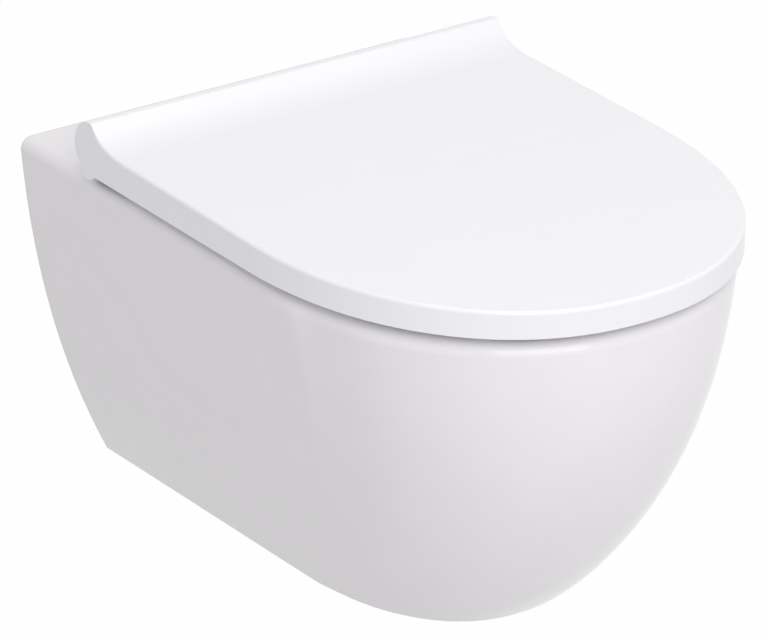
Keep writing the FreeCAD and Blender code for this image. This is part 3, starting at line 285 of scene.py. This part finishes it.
# %% Dress the nodes
finishes = {
    glazed_china: ["pan", "deck", "pan_base", "fixing_web_right", "fixing_web_left", "bowl",
                   "bowl_sump", "trapway", "flush_way"],
    moulded_resin: ["seat_ring", "lid"],
    white_acetal: ["flush_divider", "access_caps", "hinge_carrier_right",
                   "hinge_carrier_left", "carrier_caps"],
    grey_abs: ["release_button_right", "release_button_left"],
    filled_nylon: ["fixing_block_right", "fixing_block_left", "hinge_damper_right",
                   "hinge_damper_left", "seat_bushes", "lid_bushes"],
    black_epdm: ["expansion_bushes"],
    milky_elastomer: ["post_gaskets", "seat_buffers_front", "seat_buffers_rear",
                      "lid_buffers_front", "lid_buffers_rear"],
    turned_steel: ["hinge_post_right", "hinge_post_left", "post_studs", "latch_clips"],
    turned_pin: ["hinge_pin_right", "hinge_pin_left"],
    turned_brass: ["expansion_nuts"],
    zinc_steel: ["fixing_washers", "fixing_nuts", "clamp_screw_right", "clamp_screw_left"],
}
for finish, names in finishes.items():
    for name in names:
        for slot in nodes[name].material_slots:
            slot.material = finish
bare = sorted(set(nodes) - {name for names in finishes.values() for name in names})
print("nodes without a finish:", bare)

# %% [markdown]
# ## Rim of the lid
# A pressed lid never has a sharp rim: the tool is polished to a radius, and that radius
# catches the light as a fine bright line all round the lid. A Bevel modifier is the short
# way, but it wants clean edges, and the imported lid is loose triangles. So the lid keeps
# its packed inside, its ears and the back of its ridge, and its top and its band are drawn
# again in rows. Here are the lid's own measures. The plan is straight sides with a nose
# of a rounded square curve, and the side view is a hollow flank under the ridge's crest.

# %% Measures of the lid
RIM_RADIUS = 2.6 * MM
RIM_SUPPORT = 0.4 * MM  # a flat step beside the round keeps the shading of the round in it
RIM_FADE = 14 * MM  # the round grows from nothing at the crest over this length
LID_HALF = 183 * MM
LID_SIDE = 300 * MM
LID_NOSE = 527 * MM
NOSE_LENGTH = LID_NOSE - LID_SIDE
LID_POWER = 2.17
LID_LOW = 87.3 * MM
AXIS = np.array([-101, 107.5]) * MM  # places in the side view are y and z
RIDGE_RADIUS = 20.6 * MM
CREST = AXIS + (0, RIDGE_RADIUS)
ROOT = np.array([-145, 111.7]) * MM
CREST_PULL = np.array([-4.5, 0]) * MM
ROOT_PULL = np.array([37.5, 0.4]) * MM
LIP = np.array([[-91.5, 83], [-100, 83], [-107, 87.3], [-300, 87.3]]) * MM
TOP_FALL = 3.9 * MM / (LID_NOSE + ROOT[0])


def outline_value(x, y):
    """1 on the plan outline: (|x| / half width)^n, plus (way past the sides / nose length)^n."""
    past = np.maximum(-y - LID_SIDE, 0) / NOSE_LENGTH
    return (np.abs(x) / LID_HALF) ** LID_POWER + past ** LID_POWER


def inward_normal(x, y):
    """Unit normal of the outline in plan, inwards: the slope of outline_value, turned round."""
    past = np.maximum(-y - LID_SIDE, 0) / NOSE_LENGTH
    normal = np.stack([-np.sign(x) * (np.abs(x) / LID_HALF) ** (LID_POWER - 1) / LID_HALF,
                       past ** (LID_POWER - 1) / NOSE_LENGTH])
    return normal / np.linalg.norm(normal, axis=0)


def top_level(y):
    """Height of the straight top, which falls from the ridge's root to the nose."""
    return ROOT[1] + TOP_FALL * (y - ROOT[0])


print("the top falls", round(math.degrees(math.atan(TOP_FALL)), 2), "degrees to the nose")

# %% [markdown]
# The rows need stops along the rim: from the crest of the ridge on the left, forward over
# the flank, round the nose, and back to the crest on the right. On the flank they come
# from the curve's formula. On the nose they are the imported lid's own outline points,
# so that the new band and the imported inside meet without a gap.

# %% Stops along the rim
FLANK_STOPS = 21
TOP_STOPS = 3
SAME = 0.01 * MM  # nearer than this is one place
OUTER_SHARE = 0.985  # outline_value of the band's outside is above this, of its inside below


def mesh_arrays(node):
    """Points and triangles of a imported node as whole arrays."""
    points = np.empty(len(node.data.vertices) * 3)
    node.data.vertices.foreach_get("co", points)
    corners = np.empty(len(node.data.loops), dtype=np.int64)
    node.data.loops.foreach_get("vertex_index", corners)
    return points.reshape(-1, 3), corners.reshape(-1, 3)


def distinct(points):
    """Each place once, to a tenth of a micrometre."""
    return np.unique(np.round(points, 7), axis=0)


def side_profile():
    """Flank as the cubic (1-t)^3 a + 3t(1-t)^2 b + 3t^2(1-t) c + t^3 d, then the straight top;
    returns y, z and the slope dz/dy of each stop."""
    a, b, c, d = CREST, CREST + CREST_PULL, ROOT + ROOT_PULL, ROOT
    t = np.linspace(0, 1, FLANK_STOPS)[:, None]
    place = (1 - t) ** 3 * a + 3 * t * (1 - t) ** 2 * b + 3 * t ** 2 * (1 - t) * c + t ** 3 * d
    lean = (1 - t) ** 2 * (b - a) + 2 * t * (1 - t) * (c - b) + t ** 2 * (d - c)
    far = np.linspace(ROOT[0], -LID_SIDE, TOP_STOPS + 2)[1:-1]
    y = np.concatenate([place[:, 0], far])
    z = np.concatenate([place[:, 1], top_level(far)])
    slope = np.concatenate([lean[:, 1] / lean[:, 0], np.full(TOP_STOPS, TOP_FALL)])
    return y, z, slope


lid_points, lid_triangles = mesh_arrays(nodes["lid"])
x, y, z = lid_points.T
on_nose = ((np.abs(z - LID_LOW) < 2 * SAME) & (outline_value(x, y) > OUTER_SHARE)
           & (y < -LID_SIDE + SAME))
nose = distinct(lid_points[on_nose][:, :2])
nose = nose[np.argsort(np.arctan2(nose[:, 0], -nose[:, 1] - LID_SIDE))]
side_y, side_z, side_slope = side_profile()
side_x = np.full(len(side_y), LID_HALF)
rim_x = np.concatenate([-side_x, nose[:, 0], side_x])
rim_y = np.concatenate([side_y, nose[:, 1], side_y[::-1]])
rim_z = np.concatenate([side_z, top_level(nose[:, 1]), side_z[::-1]])
rim_slope = np.concatenate([side_slope, np.full(len(nose), TOP_FALL), side_slope[::-1]])
print(len(nose), "outline points on the nose,", len(rim_x), "stops in all")

# %% [markdown]
# Each row runs through all the stops. The lowest is the band's foot, the next ones climb
# the band and turn over a quarter round, and the last lies flat on the top.

# %% Rows of the new rim
ROUND_ROWS = 7


def rim_rows():
    """Rows over the quarter round: in by r (1 - cos a) and down by r (1 - sin a), square to band
    and top, with one row RIM_SUPPORT beyond it at each end; r grows from 0 behind the crest."""
    inward = inward_normal(rim_x, rim_y)
    top_normal = np.stack([-rim_slope, np.ones(len(rim_slope))]) / np.hypot(rim_slope, 1)
    share = np.clip((CREST[0] - rim_y) / RIM_FADE, 0, 1)
    fade = share ** 2 * (3 - 2 * share)
    radius, beyond = RIM_RADIUS * fade, (RIM_RADIUS + RIM_SUPPORT) * fade
    turns = np.radians(np.linspace(0, 90, ROUND_ROWS))[:, None]
    inset = np.concatenate([0 * radius[None], radius * (1 - np.cos(turns)), beyond[None]])
    depth = np.concatenate([beyond[None], radius * (1 - np.sin(turns)), 0 * radius[None]])
    rows = np.stack([rim_x + inward[0] * inset,
                     rim_y + inward[1] * inset - top_normal[0] * depth,
                     rim_z + rim_slope * inward[1] * inset - top_normal[1] * depth], axis=-1)
    foot = np.stack([rim_x, rim_y, np.full(len(rim_y), LID_LOW)], axis=-1)
    return np.concatenate([foot[None], rows])


rows = rim_rows()
levels, stops = rows.shape[:2]
index = np.arange(levels * stops).reshape(levels, stops)
turn_in, turn_out = len(side_y), len(side_y) + len(nose) - 1
quads = np.stack([index[:-1, :-1], index[:-1, 1:], index[1:, 1:], index[1:, :-1]], -1)
band = np.concatenate([quads[1:].reshape(-1, 4), quads[0, turn_in:turn_out]])
half_way = (stops - 1) // 2
left = np.arange(1, half_way - 1)
across = np.stack([index[-1, left], index[-1, left + 1], index[-1, stops - 2 - left],
                   index[-1, stops - 1 - left]], -1)
nose_cap = index[-1:, half_way - 1:stops - half_way + 1]
print(levels, "rows of", stops, "stops,", len(band), "faces in the band")

# %% [markdown]
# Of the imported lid, three groups of triangles give way to the new rows: the flat sides,
# the band round the nose, and the top. Each is told by where it lies and where it faces.

# %% Triangles that stay
TOP_SLACK = 0.3 * MM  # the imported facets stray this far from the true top
SIDE_SLACK = 0.1 * MM
FLAT_TO_SIDE = 0.999
UPRIGHT = 0.6
SLIVER = 1e-12  # square metres


def facing_of(points, triangles):
    """Unit normal of each triangle, the cross product of two edges; shorter on a sliver."""
    a, b, c = points[triangles].transpose(1, 0, 2)
    facing = np.cross(b - a, c - a)
    return facing / np.maximum(np.linalg.norm(facing, axis=1, keepdims=True), SLIVER)


def staying_triangles():
    """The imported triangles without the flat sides, the band and the top."""
    centre = lid_points[lid_triangles].mean(axis=1)
    facing = facing_of(lid_points, lid_triangles)
    level = np.where(y < ROOT[0], top_level(y), np.interp(-y, -side_y, side_z))
    on_top = (np.abs(z - level) < TOP_SLACK) & (y < CREST[0] + SAME)
    old_side = ((np.abs(facing[:, 0]) > FLAT_TO_SIDE)
                & (np.abs(centre[:, 0]) > LID_HALF - SIDE_SLACK))
    old_band = ((np.abs(facing[:, 2]) < UPRIGHT) & (centre[:, 1] < -LID_SIDE)
                & (outline_value(centre[:, 0], centre[:, 1]) > OUTER_SHARE))
    old_top = on_top[lid_triangles].all(axis=1)
    return lid_triangles[~(old_side | old_band | old_top)]


kept = staying_triangles()
print(len(kept), "of", len(lid_triangles), "packed triangles stay")

# %% [markdown]
# The sides are flat, so each is one face with many corners. A last thin face closes the
# crest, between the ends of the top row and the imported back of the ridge.

# %% Flat sides and crest
def side_face(side):
    """Flat side as one outline: the ridge's arc, its lip, the low edge, then the rim's row."""
    on_arc = ((np.abs(x - side * LID_HALF) < SAME) & (y > CREST[0] + SAME)
              & (np.abs(np.hypot(y - AXIS[0], z - AXIS[1]) - RIDGE_RADIUS) < SAME))
    arc = distinct(lid_points[on_arc])
    arc = arc[np.argsort(np.arctan2(arc[:, 1] - AXIS[0], arc[:, 2] - AXIS[1]))][:, 1:]
    run = rows[1, :turn_in + 1] if side < 0 else rows[1, turn_out:][::-1]
    ring = np.concatenate([arc, LIP, run[::-1, 1:]])
    ring = np.column_stack([np.full(len(ring), side * LID_HALF), ring])
    return ring if side < 0 else ring[::-1]


def crest_face():
    """The crest as one outline: the top row's two stops at each end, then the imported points."""
    on_crest = ((np.abs(y - CREST[0]) < SAME) & (np.abs(z - CREST[1]) < SAME)
                & (np.abs(x) < LID_HALF - SAME))
    return np.concatenate([rows[-1, :2], rows[-1, -2:], distinct(lid_points[on_crest])[::-1]])


outlines = [side_face(-1), side_face(1), crest_face()]
print("corners of the flat faces:", [len(ring) for ring in outlines])

# %% [markdown]
# All of it goes into one mesh, and points that share a place are merged, which closes
# it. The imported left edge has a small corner 350 mm from the wall and the right edge is
# smooth, so the right half is mirrored over the left. Edges over 30 degrees stay crisp.

# %% One closed skin
WELD = 0.005 * MM
SHARP_DEGREES = 30


def close_and_mirror(mesh):
    """Merge doubles, drop loose points, copy the +X half to -X, and turn the faces outwards."""
    shell = bmesh.new()
    shell.from_mesh(mesh)
    bmesh.ops.remove_doubles(shell, verts=shell.verts, dist=WELD)
    loose = [point for point in shell.verts if not point.link_faces]
    bmesh.ops.delete(shell, geom=loose, context="VERTS")
    whole = shell.verts[:] + shell.edges[:] + shell.faces[:]
    bmesh.ops.symmetrize(shell, input=whole, direction="X")
    bmesh.ops.recalc_face_normals(shell, faces=shell.faces)
    shell.to_mesh(mesh)
    shell.free()


all_points = np.concatenate([lid_points, rows.reshape(-1, 3)])
all_faces = kept.tolist()
for part in (band, across, nose_cap):
    all_faces += (part + len(lid_points)).tolist()
for ring in outlines:
    all_faces.append(list(range(len(all_points), len(all_points) + len(ring))))
    all_points = np.concatenate([all_points, ring])
skin = bpy.data.meshes.new("lid_skin")
skin.from_pydata(all_points.tolist(), [], all_faces)
close_and_mirror(skin)
skin.shade_smooth()
skin.set_sharp_from_angle(angle=math.radians(SHARP_DEGREES))
skin.materials.append(moulded_resin)
lid_skin = bpy.data.objects.new("lid_skin", skin)
bpy.context.scene.collection.objects.link(lid_skin)
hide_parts("lid")
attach(lid_skin, "cover")
print(len(skin.polygons), "faces in the lid's skin")

# %% [markdown]
# ## Floor
# A plain pale floor lies 400 mm under the rim, as in a bathroom. It is made of two
# answers mixed: what the camera sees is almost the pure white of a studio sweep, and
# what the object sees is an ordinary white floor that throws soft light up under it.
# The small honest share keeps the object's shadow. A shadow catcher is the usual way,
# but it needs a picture without a background.

# %% Floor
RIM_LEVEL = 80 * MM
RIM_TO_FLOOR = 400 * MM
FLOOR_LEVEL = RIM_LEVEL - RIM_TO_FLOOR
FLOOR_HALF = 12.0
WHITE_SHARE = 0.99


def seen_rays(tree):
    """1 for rays from the camera, from a mirror reflection or through glass, else 0."""
    rays = add_node(tree, "ShaderNodeLightPath")
    mirror = add_node(tree, "ShaderNodeMath", None,
                      {0: (rays, "Is Camera Ray"), 1: (rays, "Is Glossy Ray")},
                      operation="MAXIMUM")
    return add_node(tree, "ShaderNodeMath", None,
                    {0: (mirror, "Value"), 1: (rays, "Is Transmission Ray")},
                    operation="MAXIMUM")


def make_floor_paint():
    """White light for seen rays, in the share WHITE_SHARE, and pale paint for the rest."""
    material, tree, output, _ = new_material("white_studio_floor")
    share = add_node(tree, "ShaderNodeMath", {1: WHITE_SHARE}, {0: (seen_rays(tree), "Value")},
                     operation="MULTIPLY")
    paint = add_node(tree, "ShaderNodeBsdfDiffuse", {"Color": linear("#CFCFCF")})
    white = add_node(tree, "ShaderNodeEmission", {"Color": linear("#FFFFFF"), "Strength": 1.0})
    both = add_node(tree, "ShaderNodeMixShader", None,
                    {"Fac": (share, "Value"), 1: (paint, "BSDF"), 2: (white, "Emission")})
    tree.links.new(both.outputs["Shader"], output.inputs["Surface"])
    return material


corners = [(-FLOOR_HALF, -FLOOR_HALF, FLOOR_LEVEL), (FLOOR_HALF, -FLOOR_HALF, FLOOR_LEVEL),
           (FLOOR_HALF, FLOOR_HALF, FLOOR_LEVEL), (-FLOOR_HALF, FLOOR_HALF, FLOOR_LEVEL)]
floor_mesh = bpy.data.meshes.new("studio_floor")
floor_mesh.from_pydata(corners, [], [(0, 1, 2, 3)])
floor_mesh.materials.append(make_floor_paint())
floor = bpy.data.objects.new("studio_floor", floor_mesh)
bpy.context.scene.collection.objects.link(floor)
print("floor at", round(FLOOR_LEVEL, 3))

# %% [markdown]
# ## Sky
# The sky is the same idea: white where it is seen, and a softer white where it lights
# the object, so that the pan's pale glaze keeps its shading.

# %% Sky
AMBIENT = 0.66

world = bpy.data.worlds.new("studio_sky")
bpy.context.scene.world = world
world.use_nodes = True
sky = world.node_tree
sky.nodes.clear()
soft = add_node(sky, "ShaderNodeBackground", {"Color": linear("#FFFFFF"), "Strength": AMBIENT})
plain = add_node(sky, "ShaderNodeBackground", {"Color": linear("#FFFFFF"), "Strength": 1.0})
mixed = add_node(sky, "ShaderNodeMixShader", None,
                 {"Fac": (seen_rays(sky), "Value"), 1: (soft, "Background"),
                  2: (plain, "Background")})
add_node(sky, "ShaderNodeOutputWorld", None, {"Surface": (mixed, "Shader")})
print("sky lights the object at", AMBIENT)

# %% [markdown]
# ## Lamps
# Large soft lamps only. One hangs over the lid. One stands low in front, a little to the
# left of the nose, and makes the nose of the pan the lightest side wall. The left flank
# is left to the sky and the floor, a good step darker. Small lamps would leave hard
# points of light on the glaze.

# %% Lamps
LAMP_AIM = Vector((0, -0.26, 0))
LAMP_SIZE = 2.4


def direction(azimuth, rise):
    """Unit vector from the object, for a compass angle from the nose and a height angle."""
    turn, lift = math.radians(azimuth), math.radians(rise)
    return Vector((math.sin(turn) * math.cos(lift), -math.cos(turn) * math.cos(lift),
                   math.sin(lift)))


def add_lamp(name, azimuth, rise, distance, watts):
    """A square soft lamp aimed at the object from a compass angle and a height angle."""
    lamp = bpy.data.lights.new(name, "AREA")
    lamp.shape = "SQUARE"
    lamp.size = LAMP_SIZE
    lamp.energy = watts
    away = direction(azimuth, rise)
    holder = bpy.data.objects.new(name, lamp)
    holder.matrix_world = (Matrix.Translation(LAMP_AIM + away * distance)
                           @ away.to_track_quat("Z", "Y").to_matrix().to_4x4())
    bpy.context.scene.collection.objects.link(holder)
    return holder


lamps = [add_lamp("lamp_over_lid", azimuth=10, rise=80, distance=2.6, watts=12.2),
         add_lamp("lamp_front", azimuth=-14, rise=28, distance=3.0, watts=35)]
print(len(lamps), "lamps")

# %% [markdown]
# ## Camera
# A long lens from the left and above. The angles and the distance come from fitting a
# camera to the outline of the object, so the picture can be laid over the photograph.

# %% Camera
PICTURE_WIDTH = 768
FOCAL_PIXELS = 5611.87
CAMERA_AZIMUTH = -35.749
CAMERA_RISE = 25.042
CAMERA_ROLL = 0.642
CAMERA_DISTANCE = 4.0739
CAMERA_TARGET = Vector((-0.03398, -0.26074, -0.00612))


def add_camera():
    """A camera whose axes are its way right, its way up and its way back, turned by the roll."""
    lens = bpy.data.cameras.new("camera")
    lens.sensor_fit = "HORIZONTAL"
    lens.lens = FOCAL_PIXELS / PICTURE_WIDTH * lens.sensor_width
    lens.clip_end = 100
    turn, roll = math.radians(CAMERA_AZIMUTH), math.radians(CAMERA_ROLL)
    back = direction(CAMERA_AZIMUTH, CAMERA_RISE)
    right = Vector((math.cos(turn), math.sin(turn), 0))
    up = back.cross(right)
    rolled_right = right * math.cos(roll) + up * math.sin(roll)
    rolled_up = up * math.cos(roll) - right * math.sin(roll)
    place = Matrix((rolled_right, rolled_up, back)).transposed().to_4x4()
    place.translation = CAMERA_TARGET + back * CAMERA_DISTANCE
    camera = bpy.data.objects.new("camera", lens)
    camera.matrix_world = place
    bpy.context.scene.collection.objects.link(camera)
    return camera


bpy.context.scene.camera = add_camera()
bpy.context.scene.view_settings.view_transform = "Standard"
print("lens", round(bpy.context.scene.camera.data.lens, 2), "mm")
